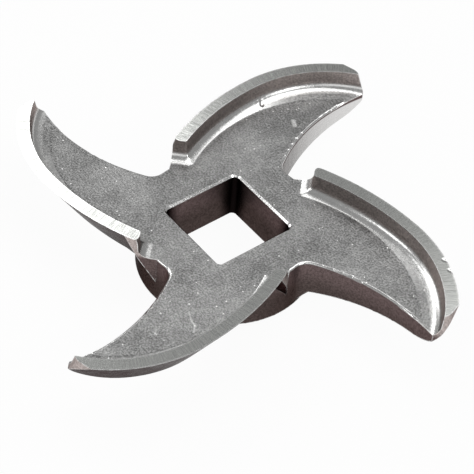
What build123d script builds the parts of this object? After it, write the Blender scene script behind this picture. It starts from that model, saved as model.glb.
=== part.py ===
from build123d import *
from math import atan2, cos, degrees, radians, sin, sqrt, tan
import os

# Knife of a number 22 meat grinder: one stainless steel casting with a square drive bore,
# a round hub and four swept arms.  Each arm is a flat web that carries a raised, ground rib.
# The rib's outer edge cuts against the hole plate.
# Origin: centre of the bore on the hub's back face.  +Z: along the bore, towards the ribs.

# ---- hub and bore -------------------------------------------------------------------
hub_radius = 14.2
web_top = 8.7              # height of the hub and of the arms' flat top face
bore_width = 14.0          # across the flats of the drive square
bore_corner_radius = 0.8
bore_edge_break = 0.3
arm_count = 4
arm_turn = 45.0            # turns the arms against the flats of the bore

# ---- arm outline, drawn for an arm that leaves the hub towards +Y --------------------
# A turn is an angle from +X round the bore, in degrees.
overall_radius = 39.2      # circle that limits the arms' ends
rib_gap = 2.05             # from the hub to the cutting edge's hub end
rib_start_turn = 130.8
blend_radius = 29.0        # the cutting edge changes its curve at this distance from the bore
blend_turn = 91.2
blend_normal = 136.3       # degrees, outward direction of the edge there
edge_end_turn = 66.95      # where the cutting edge reaches the overall circle
notch_width = 3.1          # on the hub, from the arm's root side to the next arm's trailing edge
heel_turn = 59.55          # trailing edge, where it reaches the overall circle
hollow_radius = 31.5
notch_radius = 2.4         # between the trailing edge and the hub
tip_turn = 62.0            # the arm's end wall leaves the overall circle here
tip_direction = 3.0        # degrees, direction the end wall faces
tip_slope = 17.0           # degrees, lean of the rib's end above it
tip_radius = 2.0           # between the end wall and the overall circle
heel_radius = 0.8          # between the end wall and the trailing edge

# ---- rib, its relief and the arm's underside ------------------------------------------
rib_height = 3.4           # above the web
rib_width = 2.05
rib_corner = 0.4           # rounding of the rib's inner corner at the hub
rib_draft = 4.0            # degrees, inner wall of the rib
rib_fillet = 1.6           # foot of the rib's inner wall
ramp_rise = 0.4            # the web rises by this towards the foot of the rib
ramp_root_run = 1.65       # length of that rise at the cutting edge's hub end
ramp_middle_run = 2.25
ramp_tip_run = 3.2
ramp_end_run = 1.9         # and beyond the rib's hub end
ramp_lean = -10.0          # degrees, the rise's inner line leans by this from the cutting edge
relief_angle = 31.0        # undercut behind the cutting edge
relief_setback = 2.3       # the undercut begins this far beyond the rib's hub end
underside_height = 2.0     # arm's underside at the hub
underside_angle = 9.7
underside_bevel = 1.4      # between the hub and the underside
curl_width = 5.7           # outermost ring of the underside, which curls up to the tips
curl_rounding = 7.2
rim_rounding = 0.4

right_angle = 90.0
rib_top = web_top + rib_height
beyond = 2 * overall_radius  # larger than anything on the knife
past_tip = 7.0               # the tools that shape an arm run on this far beyond its tip


def on_circle(centre, radius, turn):
    """Point of a circle at an angle from +X, in degrees."""
    return (centre[0] + radius * cos(radians(turn)), centre[1] + radius * sin(radians(turn)))


def turn_of(point, centre):
    """Angle from +X at which a point lies round a centre."""
    return degrees(atan2(point[1] - centre[1], point[0] - centre[0]))


def left_point(centre, radius, y):
    """Left-hand point of a circle at the height y."""
    return (centre[0] - sqrt(radius ** 2 - (y - centre[1]) ** 2), y)


def circles_meet(centre, radius, outer_radius):
    """Upper point where a circle crosses a circle round the origin."""
    span = sqrt(centre[0] ** 2 + centre[1] ** 2)
    along = (span ** 2 + outer_radius ** 2 - radius ** 2) / (2 * span)
    across = sqrt(outer_radius ** 2 - along ** 2)
    ux, uy = centre[0] / span, centre[1] / span
    return (along * ux - across * uy, along * uy + across * ux)


def circle_between(start, end, radius):
    """Centre of a circle of a given radius through two points, on the right of the way between them."""
    dx, dy = end[0] - start[0], end[1] - start[1]
    chord = sqrt(dx ** 2 + dy ** 2)
    away = sqrt(radius ** 2 - (chord / 2) ** 2) / chord
    return ((start[0] + end[0]) / 2 + away * dy, (start[1] + end[1]) / 2 - away * dx)


def touching_circle(touch, normal, point):
    """Centre and radius of the circle through two points, whose outward normal at the first is given."""
    dx, dy = point[0] - touch[0], point[1] - touch[1]
    outward = dx * cos(radians(normal)) + dy * sin(radians(normal))
    radius = -(dx ** 2 + dy ** 2) / (2 * outward)
    return on_circle(touch, -radius, normal), radius


def arc_on(centre, radius, start, end):
    """Short arc round a centre from one of its points to another."""
    mx = (start[0] + end[0]) / 2 - centre[0]
    my = (start[1] + end[1]) / 2 - centre[1]
    k = radius / sqrt(mx ** 2 + my ** 2)
    return ThreePointArc(start, (centre[0] + k * mx, centre[1] + k * my), end)


def nearest(items, point):
    """The item of a list whose middle is nearest to a point of the plan."""
    goal = Vector(*point)
    return items.sort_by(lambda item: (Vector(item.center().X, item.center().Y) - goal).length)[0]


bore_axis = (0, 0)
edge_root = on_circle(bore_axis, hub_radius + rib_gap, rib_start_turn)
edge_blend = on_circle(bore_axis, blend_radius, blend_turn)
edge_end = on_circle(bore_axis, overall_radius, edge_end_turn)
heel = on_circle(bore_axis, overall_radius, heel_turn)
wall_corner = on_circle(bore_axis, overall_radius, tip_turn)
rib_start_y = edge_root[1]
side_foot = (edge_root[0], sqrt(hub_radius ** 2 - edge_root[0] ** 2))
hollow_foot_turn = turn_of(side_foot, bore_axis) + degrees(notch_width / hub_radius) - 360 / arm_count
root_centre, root_radius = touching_circle(edge_blend, blend_normal, edge_root)
tip_centre, edge_tip_radius = touching_circle(edge_blend, blend_normal, edge_end)
tool_end_turn = turn_of(edge_end, tip_centre) - degrees(past_tip / edge_tip_radius)
wall_height = rib_height - ramp_rise
foot_inset = rib_width + wall_height * tan(radians(rib_draft))


def edge_arcs(inset, start_y, end):
    """Cutting edge moved inwards: two tangent arcs, from a height near the hub to an end point."""
    start = left_point(root_centre, root_radius - inset, start_y)
    blend = on_circle(edge_blend, -inset, blend_normal)
    near_hub = arc_on(root_centre, root_radius - inset, start, blend)
    near_tip = arc_on(tip_centre, edge_tip_radius - inset, blend, end)
    return start, near_hub, near_tip


def inner_side(start, near_hub, near_tip, tip, end_turn):
    """Wide face on the inner side of two arcs, from the rib's hub end to straight on beyond the tip."""
    far = on_circle(tip, beyond, end_turn - right_angle)
    low = (beyond, -beyond)
    corner = (-beyond, -beyond)
    left = (-beyond, start[1])
    return make_face([
        near_hub,
        near_tip,
        Line(tip, far),
        Line(far, low),
        Line(low, corner),
        Line(corner, left),
        Line(left, start),
    ])


def inside_edge(inset, start_y):
    """Face on the inner side of the cutting edge, moved inwards by the inset."""
    tip = on_circle(tip_centre, edge_tip_radius - inset, tool_end_turn)
    start, near_hub, near_tip = edge_arcs(inset, start_y, tip)
    return inner_side(start, near_hub, near_tip, tip, tool_end_turn), start


def inside_web_line():
    """Face inside the line where the flat web ends and its rise to the rib begins."""
    root_reach = root_radius - foot_inset - ramp_root_run
    start = left_point(root_centre, root_reach, rib_start_y - ramp_end_run)
    middle = on_circle(edge_blend, -foot_inset - ramp_middle_run, blend_normal)
    tip_reach = edge_tip_radius - foot_inset - ramp_tip_run
    tip = on_circle(tip_centre, tip_reach, turn_of(edge_end, tip_centre))
    normal = blend_normal + ramp_lean
    root_arc_centre, root_arc_radius = touching_circle(middle, normal, start)
    tip_arc_centre, tip_arc_radius = touching_circle(middle, normal, tip)
    end_turn = turn_of(tip, tip_arc_centre) - degrees(past_tip / tip_arc_radius)
    end = on_circle(tip_arc_centre, tip_arc_radius, end_turn)
    near_hub = arc_on(root_arc_centre, root_arc_radius, start, middle)
    near_tip = arc_on(tip_arc_centre, tip_arc_radius, middle, end)
    return inner_side(start, near_hub, near_tip, end, end_turn), start


def beyond_tip():
    """Wide face beyond the arm's end wall."""
    face = Rectangle(beyond, beyond, align=(Align.MIN, Align.CENTER))
    return Pos(*wall_corner) * Rot(0, 0, tip_direction) * face


def arm_outline():
    """Plan of one arm, from inside the hub to its end wall."""
    start, near_hub, near_tip = edge_arcs(0, rib_start_y, edge_end)
    side_end = (start[0], 0)
    hollow_centre = circle_between(on_circle(bore_axis, hub_radius, hollow_foot_turn), heel, hollow_radius)
    inside = (hub_radius + bore_width / 2) / 2
    hollow_start = circles_meet(hollow_centre, hollow_radius, inside)
    face = make_face([
        Line(side_end, start),
        near_hub,
        near_tip,
        arc_on(bore_axis, overall_radius, edge_end, heel),
        arc_on(hollow_centre, hollow_radius, heel, hollow_start),
        Line(hollow_start, side_end),
    ])
    face -= beyond_tip()
    face = fillet(nearest(face.vertices(), heel), heel_radius)
    return fillet(nearest(face.vertices(), wall_corner), tip_radius)


def at_height(height, outline):
    """An inner side with the rib's rounded corner, moved to its height."""
    face, start = outline
    return Pos(0, 0, height) * fillet(nearest(face.vertices(), start), rib_corner)


def pocket():
    """What is cut away above the web: down to the rise, then inwards to the flat web."""
    foot = at_height(web_top + ramp_rise, inside_edge(foot_inset, rib_start_y))
    top = at_height(rib_top, inside_edge(rib_width, rib_start_y))
    flat = at_height(web_top, inside_web_line())
    return loft([top, foot], ruled=True) + loft([foot, flat], ruled=True)


def relief_stock():
    """Tapered block whose one wall is the undercut behind the cutting edge."""
    run = rib_top * tan(radians(relief_angle))
    relief_start_y = rib_start_y + relief_setback
    top, start = inside_edge(0, relief_start_y)
    bottom, start = inside_edge(run, relief_start_y - run)
    return loft([Pos(0, 0, rib_top) * top, bottom], ruled=True)


def tip_stock():
    """Leaning block with one rounded corner, whose wall is the sloping end of the rib."""
    wall_end = on_circle(wall_corner, beyond, tip_direction - right_angle)
    circle_end = on_circle(wall_corner, beyond, tip_turn + right_angle)
    corner = (-beyond, -beyond)
    face = make_face([
        Line(wall_corner, wall_end),
        Line(wall_end, corner),
        Line(corner, circle_end),
        Line(circle_end, wall_corner),
    ])
    face = fillet(nearest(face.vertices(), wall_corner), tip_radius)
    lean = on_circle(bore_axis, tan(radians(tip_slope)), tip_direction)
    base = Pos(web_top * lean[0], web_top * lean[1], 0) * face
    return extrude(base, rib_top / cos(radians(tip_slope)), dir=(-lean[0], -lean[1], 1))


def arm():
    """One arm at the full height of the casting, with its rib and undercut."""
    blank = Box(beyond, beyond, rib_top, align=(Align.CENTER, Align.MIN, Align.MIN)) - pocket()
    foot_height = web_top + ramp_rise
    foot = blank.edges().filter_by(lambda e: max(abs((e @ t).Z - foot_height) for t in (0, 0.5, 1)) < 0.001)
    blank = fillet(foot, rib_fillet)
    return blank & relief_stock() & extrude(arm_outline(), rib_top) & tip_stock()


def underside():
    """Ring below the arms: a shallow cone that rises outwards and curls up at the tips."""
    slope = radians(underside_angle)
    curl_radius = overall_radius - curl_width
    curl_start = Vector(curl_radius, underside_height + (curl_radius - hub_radius) * tan(slope))
    curl_centre = curl_start + Vector(-sin(slope), cos(slope)) * curl_rounding
    curl_middle = curl_centre + Vector(sin(2 * slope), -cos(2 * slope)) * curl_rounding
    curl_end = curl_centre + Vector(curl_rounding, 0)
    face = make_face([
        Line((hub_radius, -rib_top), (hub_radius, underside_height)),
        Line((hub_radius, underside_height), curl_start),
        ThreePointArc(curl_start, curl_middle, curl_end),
        Line(curl_end, (beyond, curl_end.Y)),
        Line((beyond, curl_end.Y), (beyond, -rib_top)),
        Line((beyond, -rib_top), (hub_radius, -rib_top)),
    ])
    face = chamfer(nearest(face.vertices(), (hub_radius, underside_height)), underside_bevel)
    return revolve(Plane.XZ * face, Axis.Z)


def bore():
    """Square drive bore with a narrow bevel at both ends."""
    square = RectangleRounded(bore_width, bore_width, bore_corner_radius)
    wide = RectangleRounded(
        bore_width + 2 * bore_edge_break,
        bore_width + 2 * bore_edge_break,
        bore_corner_radius + bore_edge_break,
    )
    back = loft([wide, Pos(0, 0, bore_edge_break) * square])
    front = loft([Pos(0, 0, web_top - bore_edge_break) * square, Pos(0, 0, web_top) * wide])
    return extrude(square, web_top) + back + front


def is_notch(edge):
    """Upright edge between an arm's trailing edge and the hub, over the hub's whole height."""
    centre = edge.center()
    on_hub = abs(sqrt(centre.X ** 2 + centre.Y ** 2) - hub_radius) < 0.01
    return on_hub and edge.geom_type == GeomType.LINE and abs(edge.length - web_top) < 0.01


def is_upright_wall(face):
    """A wall that stands straight up on the outline."""
    return abs(face.normal_at(face.center()).Z) < 0.001


def rim(body):
    """Upper edge of the outline's curved upright walls, where the flat web ends."""
    wall_edges = body.faces().filter_by(is_upright_wall).edges()
    flats = body.faces().filter_by(Plane.XY).filter_by(lambda face: abs(face.center().Z - web_top) < 0.001)
    curved = flats.edges().filter_by(lambda edge: edge.geom_type != GeomType.LINE)
    return curved.filter_by(lambda edge: any(edge.is_same(other) for other in wall_edges))


def knife():
    """Hub and arms fused into one casting, with its notches, underside and bore."""
    one_arm = arm()
    body = extrude(Circle(hub_radius), web_top)
    for k in range(arm_count):
        body += Rot(0, 0, arm_turn + k * 360 / arm_count) * one_arm
    body = fillet(body.edges().filter_by(is_notch), notch_radius)
    body -= underside()
    body = fillet(rim(body), rim_rounding)
    return body - bore()


os.makedirs("parts", exist_ok=True)
export_step(knife(), "parts/knife.step")
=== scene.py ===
import math

import bmesh
import bpy
from mathutils import Matrix, Vector, geometry, noise


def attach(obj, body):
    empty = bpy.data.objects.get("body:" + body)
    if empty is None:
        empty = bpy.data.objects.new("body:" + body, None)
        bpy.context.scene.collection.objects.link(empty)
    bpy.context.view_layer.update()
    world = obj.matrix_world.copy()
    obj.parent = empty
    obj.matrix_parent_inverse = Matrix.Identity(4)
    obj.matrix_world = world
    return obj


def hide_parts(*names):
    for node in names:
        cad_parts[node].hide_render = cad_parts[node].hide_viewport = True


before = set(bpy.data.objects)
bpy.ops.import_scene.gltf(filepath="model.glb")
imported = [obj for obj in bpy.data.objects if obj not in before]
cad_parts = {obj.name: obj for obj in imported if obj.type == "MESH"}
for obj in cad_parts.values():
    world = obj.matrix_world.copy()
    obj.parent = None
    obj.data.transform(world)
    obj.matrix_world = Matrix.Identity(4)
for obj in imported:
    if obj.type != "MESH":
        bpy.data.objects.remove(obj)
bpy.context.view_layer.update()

MM = 0.001

# ---- camera ---------------------------------------------------------------------------
CAMERA_LENS = 130.395
SENSOR_WIDTH = 36.0
CAMERA_TURN = 45.0 + 3.794              # degrees round the knife
CAMERA_RISE = 46.147                    # degrees above the floor
CAMERA_ROLL = -4.924                    # degrees
CAMERA_DISTANCE = 265.75 * MM           # from the top of the hub
CAMERA_NEAR = 10 * MM
HUB_IN_VIEW = (-1.43 * MM, 2.90 * MM)   # the hub's middle, right of and above the view's middle
HUB_TOP = 8.7 * MM

# ---- studio ---------------------------------------------------------------------------
FLOOR_HALF = 1.5
FLOOR_COLOUR = (0.9, 0.9, 0.9, 1)
FLOOR_GLOW = 0.95                       # share of plain white in what the camera and the metal see
WORLD_LEVEL = 0.30

# Each softbox: name, degrees aside from straight away from the camera, degrees above the
# floor, then distance, width and height in metres, and brightness.
SOFTBOXES = (
    ("softbox_far", -13, 43.5, 0.6, 0.137, 0.09, 2.8),
    ("softbox_left", -46, 43, 0.6, 0.40, 0.20, 2.0),
    ("softbox_near", 125, 38, 0.6, 0.24, 0.20, 2.6),
    ("softbox_front", 180, 38, 0.8, 0.60, 0.30, 0.7),
    ("softbox_over", 52, 69, 0.6, 0.50, 0.38, 1.8),
    ("softbox_low", -64, 17, 0.6, 0.28, 0.28, 2.4),
    ("softbox_side", -105, 31, 0.6, 0.16, 0.16, 2.6),
)

# ---- shape of the knife ---------------------------------------------------------------
ARM_COUNT = 4
ARM_STEP = 360 / ARM_COUNT              # degrees from one arm to the next
ARM_TURN = 45.0                         # degrees, the first arm's turn from its own frame
ARM_MIDDLE = 95.0                       # degrees, about which an arm lies in its own frame
RIB_TOP = 12.1 * MM

# The cutting edge of an arm in its own frame, where it leaves the hub towards +Y: two arcs.
EDGE_ROOT = (-10.62 * MM, 12.30 * MM)
EDGE_ROOT_CENTRE = (31.28 * MM, -1.48 * MM)
EDGE_ROOT_RADIUS = 44.10 * MM
EDGE_TIP_CENTRE = (15.96 * MM, 13.16 * MM)
EDGE_TIP_RADIUS = 22.92 * MM
EDGE_BLEND_TURN = 136.3                 # degrees, where the second arc follows the first

RIB_CORNER = 1.3 * MM                   # reach of the rounding on a rib's outer corner at the hub
RIB_CORNER_INWARD = (0.707, 0.707, 0)   # way into the rib from that corner
RIB_CORNER_PULL = 0.41                  # how far the corner goes in, as a share of the reach

# ---- mesh and cast surface ------------------------------------------------------------
SAME_POINT = 0.0005 * MM                # points nearer than this are one
LONGEST_EDGE = 0.6 * MM
FINER_AT_MARKS = 3                      # how many times shorter the edges are near a mark
NEAR_A_MARK = 2                         # how near that is, in half widths of the mark
SPLITTING_ROUNDS = 7
FLAT_BEND = 0.003                       # radians, the most between two faces that count as flat
CAST_WAVE_DEPTH = 0.02 * MM
GROUND_WAVE_DEPTH = 0.004 * MM
GROUND_BAND = 0.02 * MM                 # points so near the rib's top get the ground face's waves
WAVES = ((0.16, 1.0), (0.6, 0.25))      # waves per mm, and their share

RIB_TOP_BAND = 0.3 * MM                 # a rib top's faces are at most so far below its height
RIB_TOP_SLOPE = 0.97                    # and look up at least so much
SHARP_BEND = 32                         # degrees from which an edge is sharp

# Each small mark: from, to, half width and depth, in mm.
MARKS = (
    ((-18.0, 20.9, 9.4), (-17.5, 20.5, 9.0), 0.45, 0.12),
    ((-11.7, 22.5, 8.7), (-10.6, 21.9, 8.7), 0.6, 0.035),
    ((12.0, -16.4, 8.7), (13.5, -17.1, 8.7), 0.2, 0.015),
    ((13.5, -17.1, 8.7), (14.6, -17.3, 8.7), 0.22, 0.02),
    ((14.6, -17.3, 8.7), (15.6, -18.2, 8.7), 0.22, 0.02),
    ((11.9, -22.3, 8.7), (12.9, -22.9, 8.7), 0.2, 0.015),
    ((12.9, -22.9, 8.7), (12.2, -23.6, 8.7), 0.2, 0.015),
    ((27.8, 19.4, 12.1), (28.1, 19.6, 12.1), 0.4, 0.10),
    ((29.9, 18.7, 12.1), (30.2, 18.8, 12.1), 0.4, 0.12),
    ((16.3, -0.6, 4.0), (16.3, -0.3, 4.2), 0.6, 0.16),
)

# ---- colours --------------------------------------------------------------------------
CASTING = (0.265, 0.265, 0.262)
FILLET = (0.75, 0.75, 0.74)
SKIN_LOW = (0.085, 0.066, 0.062)
SKIN_MIDDLE = (0.15, 0.112, 0.11)
SKIN_HIGH = (0.5, 0.44, 0.42)
# colour of the painted shade in the bore's corners
PAINTED_CORNER_SHADE = (0.008, 0.006, 0.006)
# colour of bare specks and worn edges, and of the painted highlights and the painted reflection
BARE_AND_PAINTED_LIGHT = (0.92, 0.92, 0.91)
GROUND = (0.6, 0.61, 0.59)
GLANCING_TINT = (0.25, 0.24, 0.24, 1)   # of the casting, seen at a flat angle

# ---- where each finish lies: heights in mm, slopes from -1, looking down, to 1, up ------
SKIN_HEIGHTS = (3.0, 8.0)               # the skin of the walls turns lighter over these
INNER_WALL_HEIGHTS = (8.4, 9.4)         # the ribs' inner walls begin over these
INNER_WALL_SLOPES = (-0.3, -0.05)
BLASTED_SLOPES = (0.25, 0.65)           # the skin gives way to the blasted finish,
BLASTED_BACK_SLOPES = (-0.85, -0.97)    # also on the flat back
FILLET_FROM = (0.35, 0.6)               # a smooth fillet lies between these slopes
FILLET_TO = (0.985, 0.995)
RIM_FROM = (8.2, 8.4)                   # the painted highlight on the web's rounded rim lies between these heights
RIM_TO = (8.64, 8.7)
RIM_SLOPES = (0.3, 0.5)
SPECK_SLOPES = (0.5, 0.9)               # specks come in over these

BORE_HALF = 7.0                         # mm
BORE_CORNER = (3.5, 6.6)                # mm from the bore's middle planes, where the painted shade comes in
BORE_WALL = (0.05, 0.15)                # mm behind the bore's walls, where the painted shade ends

# Painted reflection: one arm's back wall is made bright, standing in for the light it reflects.
REFLECTION_WALL_Y = (9.0, 11.0)                 # mm, where the wall with the painted reflection begins
REFLECTION_WALL_X = (1.0, 3.0)                  # mm, where it ends
REFLECTION_WALL_HEIGHTS = (8.0, 8.3)            # mm, where it ends at its top
REFLECTION_WALL_FACING = (0.3, 0.55)            # how much it looks towards +X
PAINTED_REFLECTION_SHARE = 0.82

# ---- roughness, relief and grain ------------------------------------------------------
ROUGH_CAST = 0.42
ROUGH_FILLET = 0.24
ROUGH_MOTTLE = 0.04                     # more or less, with the mottle
SMOOTHER_BARE_AND_HIGHLIGHT = 0.12                    # less, on the bare specks, worn edges and painted highlights
SMOOTHER_REFLECTION_WALL = 0.2                  # less, on the wall with the painted reflection
ROUGH_GROUND = (0.22, 0.16)             # from the dark grinding lines to the bright ones
GRAIN_RELIEF = 0.05 * MM
FILLET_RELIEF = 0.25                    # share of the grain's relief on the fillets
PAINTED_SHADE_REACH = 9 * MM                   # how far round it a hollow is felt, for the painted shade
PAINTED_SHADE_TONES = (0.25, 0.7, 0.12, 1.0)   # openness from and to, and the painted shade's tone from and to

GRINDING_LINES = (4.4, 0.3, 0)          # lines per mm along the rib, and their waver per mm across
GRINDING_TONES = (0.76, 1.2)
GRINDING_RELIEF = 0.008 * MM

WIDE_SPAN = (0.3, 0.7)                  # spans of a noise that a tone follows
NARROW_SPAN = (0.34, 0.66)
RAGGED_SPAN = (0.3, 0.5)
RAGGED_PATCHES = 1.6                    # per mm, in which the wear comes and goes
SPECK_CELLS = (0.4, 1.0)                # span of the cells that hold a speck, the last the largest
LARGEST_SPECK = 0.17                    # share of the speck spacing
SPECK_RIM = 0.04                        # share of the speck spacing

CASTING_GRAIN = {"Grain Size": 0.3, "Mottle Size": 1.6, "Speck Spacing": 0.9}
# edge wear that also paints highlights along the outer edges
CASTING_WEAR_AND_HIGHLIGHT = {"Reach": 0.35 * MM, "Threshold": 0.035}
GROUND_WEAR_AND_HIGHLIGHT = {"Reach": 0.45 * MM, "Threshold": 0.03}
FULL_WEAR_AND_HIGHLIGHT = 5.0                        # times the threshold
WEAR_AND_HIGHLIGHT_OPENNESS = (0.82, 0.95)            # only outer edges are worn and highlit
WEAR_AND_HIGHLIGHT_REACH = 0.6 * MM


# ---- nodes ----------------------------------------------------------------------------
def new_material(name):
    """Empty material: itself, its tree and its shader."""
    material = bpy.data.materials.new(name)
    material.use_nodes = True
    return material, material.node_tree, material.node_tree.nodes["Principled BSDF"]


def add(tree, kind, values=None, **settings):
    """Adds a node, with its settings, and its inputs as numbers, colours or links."""
    made = tree.nodes.new("ShaderNode" + kind)
    for name, setting in settings.items():
        setattr(made, name, setting)
    for name, value in (values or {}).items():
        if isinstance(value, bpy.types.NodeSocket):
            tree.links.new(value, made.inputs[name])
        else:
            made.inputs[name].default_value = value
    return made


def sums(tree, operation, first, second):
    """One sum of two values."""
    return add(tree, "Math", {0: first, 1: second}, operation=operation).outputs[0]


def both(tree, first, *others):
    """Where all of the masks hold: their product."""
    for other in others:
        first = sums(tree, "MULTIPLY", first, other)
    return first


def either(tree, first, second):
    """Where one or the other mask holds: the larger of them."""
    return sums(tree, "MAXIMUM", first, second)


def step(tree, value, low, high, start=0.0, end=1.0):
    """Smooth step of a value from start to end."""
    values = {"Value": value, "From Min": low, "From Max": high, "To Min": start, "To Max": end}
    return add(tree, "MapRange", values, interpolation_type="SMOOTHSTEP").outputs["Result"]


def fade(tree, value, low, high):
    """Smooth step of a value from one down to nothing."""
    return step(tree, value, low, high, 1.0, 0.0)


def mixed(tree, share, first, second, way="MIX"):
    """Two colours mixed."""
    made = add(tree, "Mix", {"Factor": share}, data_type="RGBA", blend_type=way)
    for socket, colour in ((made.inputs[6], first), (made.inputs[7], second)):
        if isinstance(colour, bpy.types.NodeSocket):
            tree.links.new(colour, socket)
        else:
            socket.default_value = (*colour, 1)
    return made.outputs[2]


def toned(tree, colour, value):
    """A colour made darker or lighter by a value."""
    tone = add(tree, "CombineColor", {"Red": value, "Green": value, "Blue": value}).outputs[0]
    return mixed(tree, 1.0, colour, tone, "MULTIPLY")


def millimetres(tree):
    """Place on the knife, in mm."""
    place = add(tree, "TexCoord").outputs["Object"]
    return add(tree, "VectorMath", {0: place, "Scale": 1 / MM}, operation="SCALE").outputs["Vector"]


def place_on_knife(tree):
    """Place on the knife as three values in mm."""
    return add(tree, "SeparateXYZ", {0: millimetres(tree)}).outputs


def facing_on_knife(tree):
    """The way a face looks as three values, the last of them its slope."""
    return add(tree, "SeparateXYZ", {0: add(tree, "TexCoord").outputs["Normal"]}).outputs


def new_group(name, inputs, outputs):
    """Empty node group: its tree, its input sockets and its output node."""
    tree = bpy.data.node_groups.new(name, "ShaderNodeTree")
    for socket, value in inputs.items():
        made = tree.interface.new_socket(socket, in_out="INPUT", socket_type="NodeSocketFloat")
        made.default_value = value
    for socket in outputs:
        tree.interface.new_socket(socket, in_out="OUTPUT", socket_type="NodeSocketFloat")
    return tree, tree.nodes.new("NodeGroupInput").outputs, tree.nodes.new("NodeGroupOutput")


def place_group(tree, group, values):
    """Places a group in a material, with its own values."""
    made = tree.nodes.new("ShaderNodeGroup")
    made.node_tree = group
    for name, value in values.items():
        made.inputs[name].default_value = value
    return made.outputs


# ---- camera and studio ----------------------------------------------------------------
def turned(angle):
    """Turn about the upright axis, in degrees."""
    return Matrix.Rotation(math.radians(angle), 3, "Z")


def add_camera():
    """Long-lens camera that looks down on the knife across one corner of the bore."""
    rise = math.radians(90 - CAMERA_RISE)
    view = turned(CAMERA_TURN) @ Matrix.Rotation(rise, 3, "X") @ turned(-CAMERA_ROLL)
    from_hub = Vector((-HUB_IN_VIEW[0], -HUB_IN_VIEW[1], CAMERA_DISTANCE))
    place = view @ from_hub + Vector((0, 0, HUB_TOP))
    data = bpy.data.cameras.new("camera")
    data.lens = CAMERA_LENS
    data.sensor_width = SENSOR_WIDTH
    data.clip_start = CAMERA_NEAR
    camera = bpy.data.objects.new("camera", data)
    camera.matrix_world = Matrix.Translation(place) @ view.to_4x4()
    bpy.context.scene.collection.objects.link(camera)
    bpy.context.scene.camera = camera


def studio_direction(aside, rise):
    """Unit vector from the knife, turned aside from straight away from the camera, and up."""
    aside, rise = math.radians(aside), math.radians(rise)
    level = Vector((math.sin(aside), math.cos(aside), 0)) * math.cos(rise)
    return turned(CAMERA_TURN) @ (level + Vector((0, 0, math.sin(rise))))


def add_softbox(name, direction, distance, width, height, level):
    """Square-on area lamp of an even brightness, so many metres away from the knife."""
    data = bpy.data.lights.new(name, "AREA")
    data.shape = "RECTANGLE"
    data.size = width
    data.size_y = height
    data.energy = level * math.pi * width * height
    lamp = bpy.data.objects.new(name, data)
    lamp.location = direction * distance
    lamp.rotation_euler = direction.to_track_quat("Z", "Y").to_euler()
    bpy.context.scene.collection.objects.link(lamp)


def white_floor():
    """Matt floor that takes a soft shadow and shows nearly white to the camera and the metal."""
    material, tree, shader = new_material("white_floor")
    shader.inputs["Base Color"].default_value = FLOOR_COLOUR
    shader.inputs["Roughness"].default_value = 1.0
    shader.inputs["Specular IOR Level"].default_value = 0.0
    glow = add(tree, "Emission", {"Strength": 1.0}).outputs[0]
    ray = add(tree, "LightPath").outputs
    share = both(tree, either(tree, ray["Is Camera Ray"], ray["Is Glossy Ray"]), FLOOR_GLOW)
    mix = add(tree, "MixShader", {"Fac": share, 1: shader.outputs[0], 2: glow}).outputs[0]
    tree.links.new(mix, tree.nodes["Material Output"].inputs["Surface"])
    return material


def add_floor():
    """Plain floor under the knife."""
    mesh = bpy.data.meshes.new("floor")
    corners = [(-1, -1, 0), (1, -1, 0), (1, 1, 0), (-1, 1, 0)]
    mesh.from_pydata([Vector(corner) * FLOOR_HALF for corner in corners], [], [(0, 1, 2, 3)])
    mesh.materials.append(white_floor())
    floor = bpy.data.objects.new("floor", mesh)
    bpy.context.scene.collection.objects.link(floor)


def add_world():
    """Plain grey room."""
    world = bpy.data.worlds.new("studio")
    bpy.context.scene.world = world
    world.use_nodes = True
    background = world.node_tree.nodes["Background"]
    background.inputs["Color"].default_value = (1, 1, 1, 1)
    background.inputs["Strength"].default_value = WORLD_LEVEL


# ---- shape ----------------------------------------------------------------------------
def arm_of(point):
    """Which arm a point belongs to, and its place in that arm's own frame."""
    turn = math.degrees(math.atan2(point.y, point.x))
    arm = round((turn - ARM_TURN - ARM_MIDDLE) / ARM_STEP) % ARM_COUNT
    return arm, turned(-ARM_TURN - ARM_STEP * arm) @ point


def rib_run(point):
    """Way along the cutting edge, distance inside it, and the edge's direction there."""
    arm, local = arm_of(point)
    blend = math.radians(EDGE_BLEND_TURN)
    for centre, radius in ((EDGE_ROOT_CENTRE, EDGE_ROOT_RADIUS), (EDGE_TIP_CENTRE, EDGE_TIP_RADIUS)):
        aside, ahead = local.x - centre[0], local.y - centre[1]
        angle = math.atan2(ahead, aside)
        if angle >= blend:
            break
    along = (blend - angle) * radius
    inside = radius - math.hypot(aside, ahead)
    direction = turned(ARM_TURN + ARM_STEP * arm) @ Vector((math.sin(angle), -math.cos(angle), 0))
    return along, inside, direction


def beside(point, start, end):
    """Distance of a point from a short stroke."""
    _, share = geometry.intersect_point_line(point, start, end)
    return (point - start.lerp(end, max(0, min(1, share)))).length


def refine(form, longest, marks):
    """Splits long edges, finest near the marks, and evens out the triangles on flat faces."""
    for _ in range(SPLITTING_ROUNDS):
        long_edges = []
        for edge in form.edges:
            middle = (edge.verts[0].co + edge.verts[1].co) / 2
            close = any(beside(middle, start, end) < NEAR_A_MARK * reach for start, end, reach, _ in marks)
            if edge.calc_length() > (longest / FINER_AT_MARKS if close else longest):
                long_edges.append(edge)
        if not long_edges:
            break
        bmesh.ops.subdivide_edges(form, edges=long_edges, cuts=1)
        bmesh.ops.triangulate(form, faces=[face for face in form.faces if len(face.verts) > 3])
        paired = [edge for edge in form.edges if len(edge.link_faces) == 2]
        flat = [edge for edge in paired if edge.calc_face_angle(1) < FLAT_BEND]
        bmesh.ops.beautify_fill(form, faces=form.faces, edges=flat)


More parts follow.
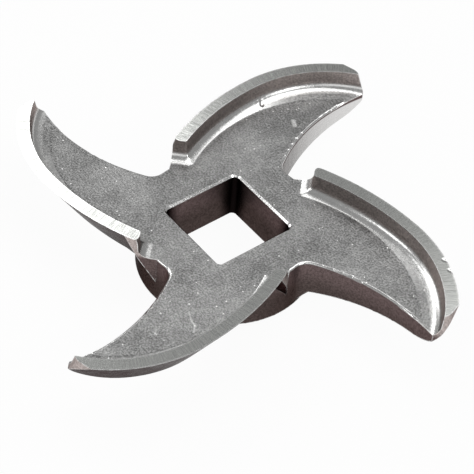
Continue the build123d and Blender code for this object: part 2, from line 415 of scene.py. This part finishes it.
def rib_corners():
    """Outer corner of each rib at the hub, and the way into the rib from it."""
    corner, inward = Vector((*EDGE_ROOT, RIB_TOP)), Vector(RIB_CORNER_INWARD)
    turns = [turned(ARM_TURN + ARM_STEP * arm) for arm in range(ARM_COUNT)]
    return [(turn @ corner, turn @ inward) for turn in turns]


def round_rib_corners(form):
    """Rounds the sharp corners that the ribs have at the hub."""
    for corner, inward in rib_corners():
        for vertex in form.verts:
            away = (vertex.co - corner).length / RIB_CORNER
            if away < 1:
                vertex.co += inward * (RIB_CORNER_PULL * RIB_CORNER * (1 - away) ** 2)


def cast_surface(form, marks):
    """Gives the even faces a casting's slight waves and presses the marks in."""
    form.normal_update()
    moves = []
    for vertex in form.verts:
        place = vertex.co / MM
        wave = sum(share * noise.noise(place * pitch) for pitch, share in WAVES)
        ground = vertex.co.z > RIB_TOP - GROUND_BAND
        deepest = GROUND_WAVE_DEPTH if ground else CAST_WAVE_DEPTH
        depth = deepest * (0.5 + 0.5 * max(-1, min(1, wave)))
        for start, end, reach, press in marks:
            away = beside(vertex.co, start, end)
            if away < reach:
                depth += press * (1 - (away / reach) ** 2) ** 2
        moves.append(vertex.normal * -depth)
    for vertex, move in zip(form.verts, moves):
        vertex.co += move


def knife_mesh():
    """The knife as one closed mesh, fine enough for its cast surface and its marks."""
    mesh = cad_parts["knife"].data.copy()
    piece = bpy.data.objects.new("grinder_knife", mesh)
    bpy.context.scene.collection.objects.link(piece)
    mesh.materials.clear()
    marks = [(Vector(start) * MM, Vector(end) * MM, reach * MM, press * MM)
             for start, end, reach, press in MARKS]
    corners = [(corner, corner, RIB_CORNER / 2, 0) for corner, _ in rib_corners()]
    form = bmesh.new()
    form.from_mesh(mesh)
    bmesh.ops.remove_doubles(form, verts=form.verts, dist=SAME_POINT)
    refine(form, LONGEST_EDGE, marks + corners)
    round_rib_corners(form)
    cast_surface(form, marks)
    form.to_mesh(mesh)
    form.free()
    for name in ("custom_normal", "sharp_edge", "sharp_face"):
        if name in mesh.attributes:
            mesh.attributes.remove(mesh.attributes[name])
    return piece


def add_rib_runs(piece):
    """Stores the run of the ribs on the mesh, for the grinding lines."""
    mesh = piece.data
    run = mesh.attributes.new("rib_run", "FLOAT_VECTOR", "POINT")
    way = mesh.attributes.new("rib_direction", "FLOAT_VECTOR", "POINT")
    for vertex in mesh.vertices:
        along, inside, direction = rib_run(vertex.co)
        run.data[vertex.index].vector = (along / MM, inside / MM, 0)
        way.data[vertex.index].vector = direction


def paint_faces(piece, casting, ground):
    """Gives the rib tops their ground finish and the rest the cast one."""
    mesh = piece.data
    mesh.materials.append(casting)
    mesh.materials.append(ground)
    for face in mesh.polygons:
        top = face.center.z > RIB_TOP - RIB_TOP_BAND and face.normal.z > RIB_TOP_SLOPE
        face.material_index = 1 if top else 0
        face.use_smooth = True
    mesh.set_sharp_from_angle(angle=math.radians(SHARP_BEND))


# ---- finishes -------------------------------------------------------------------------
def blasting_grain():
    """Shot-blasted grain: its height, its mottled tone and a scatter of bright specks."""
    sizes = {"Grain Size": 0.35, "Mottle Size": 3.0, "Speck Spacing": 1.4}
    tree, inputs, output = new_group("blasting_grain", sizes, ("Grain Height", "Mottle", "Specks"))
    place = millimetres(tree)
    per_mm = {name: sums(tree, "DIVIDE", 1.0, inputs[name]) for name in sizes}
    fine = {"Vector": place, "Scale": per_mm["Grain Size"], "Detail": 3.0, "Roughness": 0.65}
    broad = {"Vector": place, "Scale": per_mm["Mottle Size"], "Detail": 4.0, "Roughness": 0.6}
    spots = add(tree, "TexVoronoi", {"Vector": place, "Scale": per_mm["Speck Spacing"]}).outputs
    chosen = add(tree, "SeparateColor", {"Color": spots["Color"]}).outputs[0]
    reach = step(tree, chosen, *SPECK_CELLS, 0.0, LARGEST_SPECK)
    inside = sums(tree, "SUBTRACT", reach, spots["Distance"])
    tree.links.new(add(tree, "TexNoise", fine).outputs[0], output.inputs["Grain Height"])
    tree.links.new(add(tree, "TexNoise", broad).outputs[0], output.inputs["Mottle"])
    tree.links.new(step(tree, inside, 0.0, SPECK_RIM), output.inputs["Specks"])
    return tree


def edge_wear_and_highlight():
    """Where an outer edge is made bright: partly wear, partly a painted highlight."""
    tree, inputs, output = new_group("edge_wear_and_highlight", {"Reach": 0.0003, "Threshold": 0.02}, ("Wear And Highlight",))
    rounded = add(tree, "Bevel", {"Radius": inputs["Reach"]}, samples=6).outputs[0]
    facing = add(tree, "NewGeometry").outputs["Normal"]
    match = add(tree, "VectorMath", {0: rounded, 1: facing}, operation="DOT_PRODUCT").outputs["Value"]
    bent = sums(tree, "SUBTRACT", 1.0, match)
    limit = sums(tree, "MULTIPLY", inputs["Threshold"], FULL_WEAR_AND_HIGHLIGHT)
    edge = add(tree, "MapRange", {"Value": bent, "From Min": inputs["Threshold"], "From Max": limit})
    openness = add(tree, "AmbientOcclusion", {"Distance": WEAR_AND_HIGHLIGHT_REACH}, samples=6, only_local=True)
    outer = step(tree, openness.outputs["AO"], *WEAR_AND_HIGHLIGHT_OPENNESS)
    patches = add(tree, "TexNoise", {"Vector": millimetres(tree), "Scale": RAGGED_PATCHES, "Detail": 3.0})
    ragged = step(tree, patches.outputs[0], *RAGGED_SPAN)
    tree.links.new(both(tree, edge.outputs[0], outer, ragged), output.inputs["Wear And Highlight"])
    return tree


def painted_reflection_wall(tree):
    """The back wall of one arm, made bright as a painted reflection."""
    place = place_on_knife(tree)
    arm = both(tree, step(tree, place["Y"], *REFLECTION_WALL_Y), fade(tree, place["X"], *REFLECTION_WALL_X))
    wall = both(tree, step(tree, facing_on_knife(tree)["X"], *REFLECTION_WALL_FACING),
                fade(tree, place["Z"], *REFLECTION_WALL_HEIGHTS))
    return both(tree, arm, wall, PAINTED_REFLECTION_SHARE)


def bore_corner_shade(tree):
    """Painted shade in the corners of the bore, making them darker than its walls."""
    place = place_on_knife(tree)
    aside, ahead = (sums(tree, "ABSOLUTE", place[axis], 0.0) for axis in ("X", "Y"))
    near = step(tree, sums(tree, "MINIMUM", aside, ahead), *BORE_CORNER)
    behind = sums(tree, "SUBTRACT", either(tree, aside, ahead), BORE_HALF)
    return both(tree, near, fade(tree, behind, *BORE_WALL))


def wall_skin_and_shade(tree, grain, slope, height):
    """Dark skin of the walls, lighter towards the top and on the ribs' inner walls, with painted shade
    that darkens it in the hollows.
    """
    skin = mixed(tree, step(tree, height, *SKIN_HEIGHTS), SKIN_LOW, SKIN_MIDDLE)
    inner = both(tree, step(tree, height, *INNER_WALL_HEIGHTS), step(tree, slope, *INNER_WALL_SLOPES))
    skin = mixed(tree, inner, skin, SKIN_HIGH)
    skin = toned(tree, skin, step(tree, grain["Grain Height"], *WIDE_SPAN, 0.7, 1.3))
    # painted shade: the skin is darkened where ambient occlusion finds a hollow
    openness = add(tree, "AmbientOcclusion", {"Distance": PAINTED_SHADE_REACH}, samples=8, only_local=True)
    return toned(tree, skin, step(tree, openness.outputs["AO"], *PAINTED_SHADE_TONES))


def blasted_faces(tree, grain, smooth):
    """Grey of the blasted faces, mottled by the grain, and of the smooth fillets."""
    mottle = both(tree, step(tree, grain["Mottle"], *WIDE_SPAN, 0.8, 1.2),
                  step(tree, grain["Grain Height"], *NARROW_SPAN, 0.5, 1.5))
    return mixed(tree, smooth, toned(tree, CASTING, mottle), FILLET)


def bare_specks_wear_and_highlights(tree, grain, worn_and_highlit, slope, height):
    """Where the colour turns bright: bare specks, worn edges that also carry painted highlights, and a
    painted highlight on the web's rim.
    """
    level = sums(tree, "ABSOLUTE", slope, 0.0)
    specks = both(tree, grain["Specks"], step(tree, level, *SPECK_SLOPES))
    rim = both(tree, step(tree, height, *RIM_FROM), fade(tree, height, *RIM_TO),
               step(tree, slope, *RIM_SLOPES))
    return either(tree, either(tree, specks, worn_and_highlit), rim)


def cast_roughness(tree, grain, smooth, bare_and_highlit, reflection_wall):
    """Roughness of the casting: less on fillets, on the bare specks, worn edges and painted highlights,
    and on the wall with the painted reflection.
    """
    rough = step(tree, smooth, 0.0, 1.0, ROUGH_CAST, ROUGH_FILLET)
    uneven = step(tree, grain["Mottle"], *WIDE_SPAN, -ROUGH_MOTTLE, ROUGH_MOTTLE)
    rough = sums(tree, "ADD", rough, uneven)
    rough = sums(tree, "SUBTRACT", rough, both(tree, bare_and_highlit, SMOOTHER_BARE_AND_HIGHLIGHT))
    return sums(tree, "SUBTRACT", rough, both(tree, reflection_wall, SMOOTHER_REFLECTION_WALL))


def cast_steel(grain_group, wear_and_highlight_group):
    """Blasted stainless casting: even grey faces, dark skin on its walls, smooth fillets, with painted
    shade, painted highlights and a painted reflection.
    """
    material, tree, shader = new_material("blasted_casting")
    grain = place_group(tree, grain_group, CASTING_GRAIN)
    worn_and_highlit = place_group(tree, wear_and_highlight_group, CASTING_WEAR_AND_HIGHLIGHT)["Wear And Highlight"]
    slope, height = facing_on_knife(tree)["Z"], place_on_knife(tree)["Z"]
    level = sums(tree, "ABSOLUTE", slope, 0.0)
    smooth = both(tree, step(tree, level, *FILLET_FROM), fade(tree, level, *FILLET_TO))
    even = either(tree, step(tree, slope, *BLASTED_SLOPES), step(tree, slope, *BLASTED_BACK_SLOPES))
    bare_and_highlit, reflection_wall = bare_specks_wear_and_highlights(tree, grain, worn_and_highlit, slope, height), painted_reflection_wall(tree)

    skin = wall_skin_and_shade(tree, grain, slope, height)
    colour = mixed(tree, even, skin, blasted_faces(tree, grain, smooth))
    # painted shade: the bore's corners are darkened
    colour = mixed(tree, bore_corner_shade(tree), colour, PAINTED_CORNER_SHADE)
    # painted highlights on the edges and the web's rim, a painted reflection on one arm's back wall, and
    # bare specks
    colour = mixed(tree, either(tree, bare_and_highlit, reflection_wall), colour, BARE_AND_PAINTED_LIGHT)
    rough = cast_roughness(tree, grain, smooth, bare_and_highlit, reflection_wall)
    depth = step(tree, smooth, 0.0, 1.0, 1.0, FILLET_RELIEF)
    relief = {"Strength": depth, "Distance": GRAIN_RELIEF, "Height": grain["Grain Height"]}

    shader.inputs["Metallic"].default_value = 1.0
    shader.inputs["Specular Tint"].default_value = GLANCING_TINT
    tree.links.new(colour, shader.inputs["Base Color"])
    tree.links.new(rough, shader.inputs["Roughness"])
    tree.links.new(add(tree, "Bump", relief).outputs[0], shader.inputs["Normal"])
    return material


def ground_steel(wear_and_highlight_group):
    """Rib tops, ground across their length."""
    material, tree, shader = new_material("ground_rib_top")
    run = add(tree, "Attribute", attribute_name="rib_run").outputs["Vector"]
    way = add(tree, "Attribute", attribute_name="rib_direction").outputs["Vector"]
    across = add(tree, "VectorMath", {0: run, 1: GRINDING_LINES}, operation="MULTIPLY").outputs[0]
    scored = {"Vector": across, "Scale": 1.0, "Detail": 4.0, "Roughness": 0.7}
    lines = add(tree, "TexNoise", scored).outputs[0]
    worn_and_highlit = place_group(tree, wear_and_highlight_group, GROUND_WEAR_AND_HIGHLIGHT)["Wear And Highlight"]
    colour = toned(tree, GROUND, step(tree, lines, *NARROW_SPAN, *GRINDING_TONES))
    # worn edges of the rib tops, partly a painted highlight
    colour = mixed(tree, worn_and_highlit, colour, BARE_AND_PAINTED_LIGHT)
    relief = {"Strength": 0.4, "Distance": GRINDING_RELIEF, "Height": lines}

    shader.inputs["Metallic"].default_value = 1.0
    shader.inputs["Anisotropic"].default_value = 0.4
    tree.links.new(way, shader.inputs["Tangent"])
    tree.links.new(colour, shader.inputs["Base Color"])
    tree.links.new(step(tree, lines, *NARROW_SPAN, *ROUGH_GROUND), shader.inputs["Roughness"])
    tree.links.new(add(tree, "Bump", relief).outputs[0], shader.inputs["Normal"])
    return material


# ---- making ---------------------------------------------------------------------------
add_camera()
add_floor()
add_world()
for name, aside, rise, distance, width, height, level in SOFTBOXES:
    add_softbox(name, studio_direction(aside, rise), distance, width, height, level)
bpy.context.scene.view_settings.view_transform = "Standard"

knife = knife_mesh()
add_rib_runs(knife)
wear_and_highlight_group = edge_wear_and_highlight()
paint_faces(knife, cast_steel(blasting_grain(), wear_and_highlight_group), ground_steel(wear_and_highlight_group))
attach(knife, "root")
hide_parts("knife")
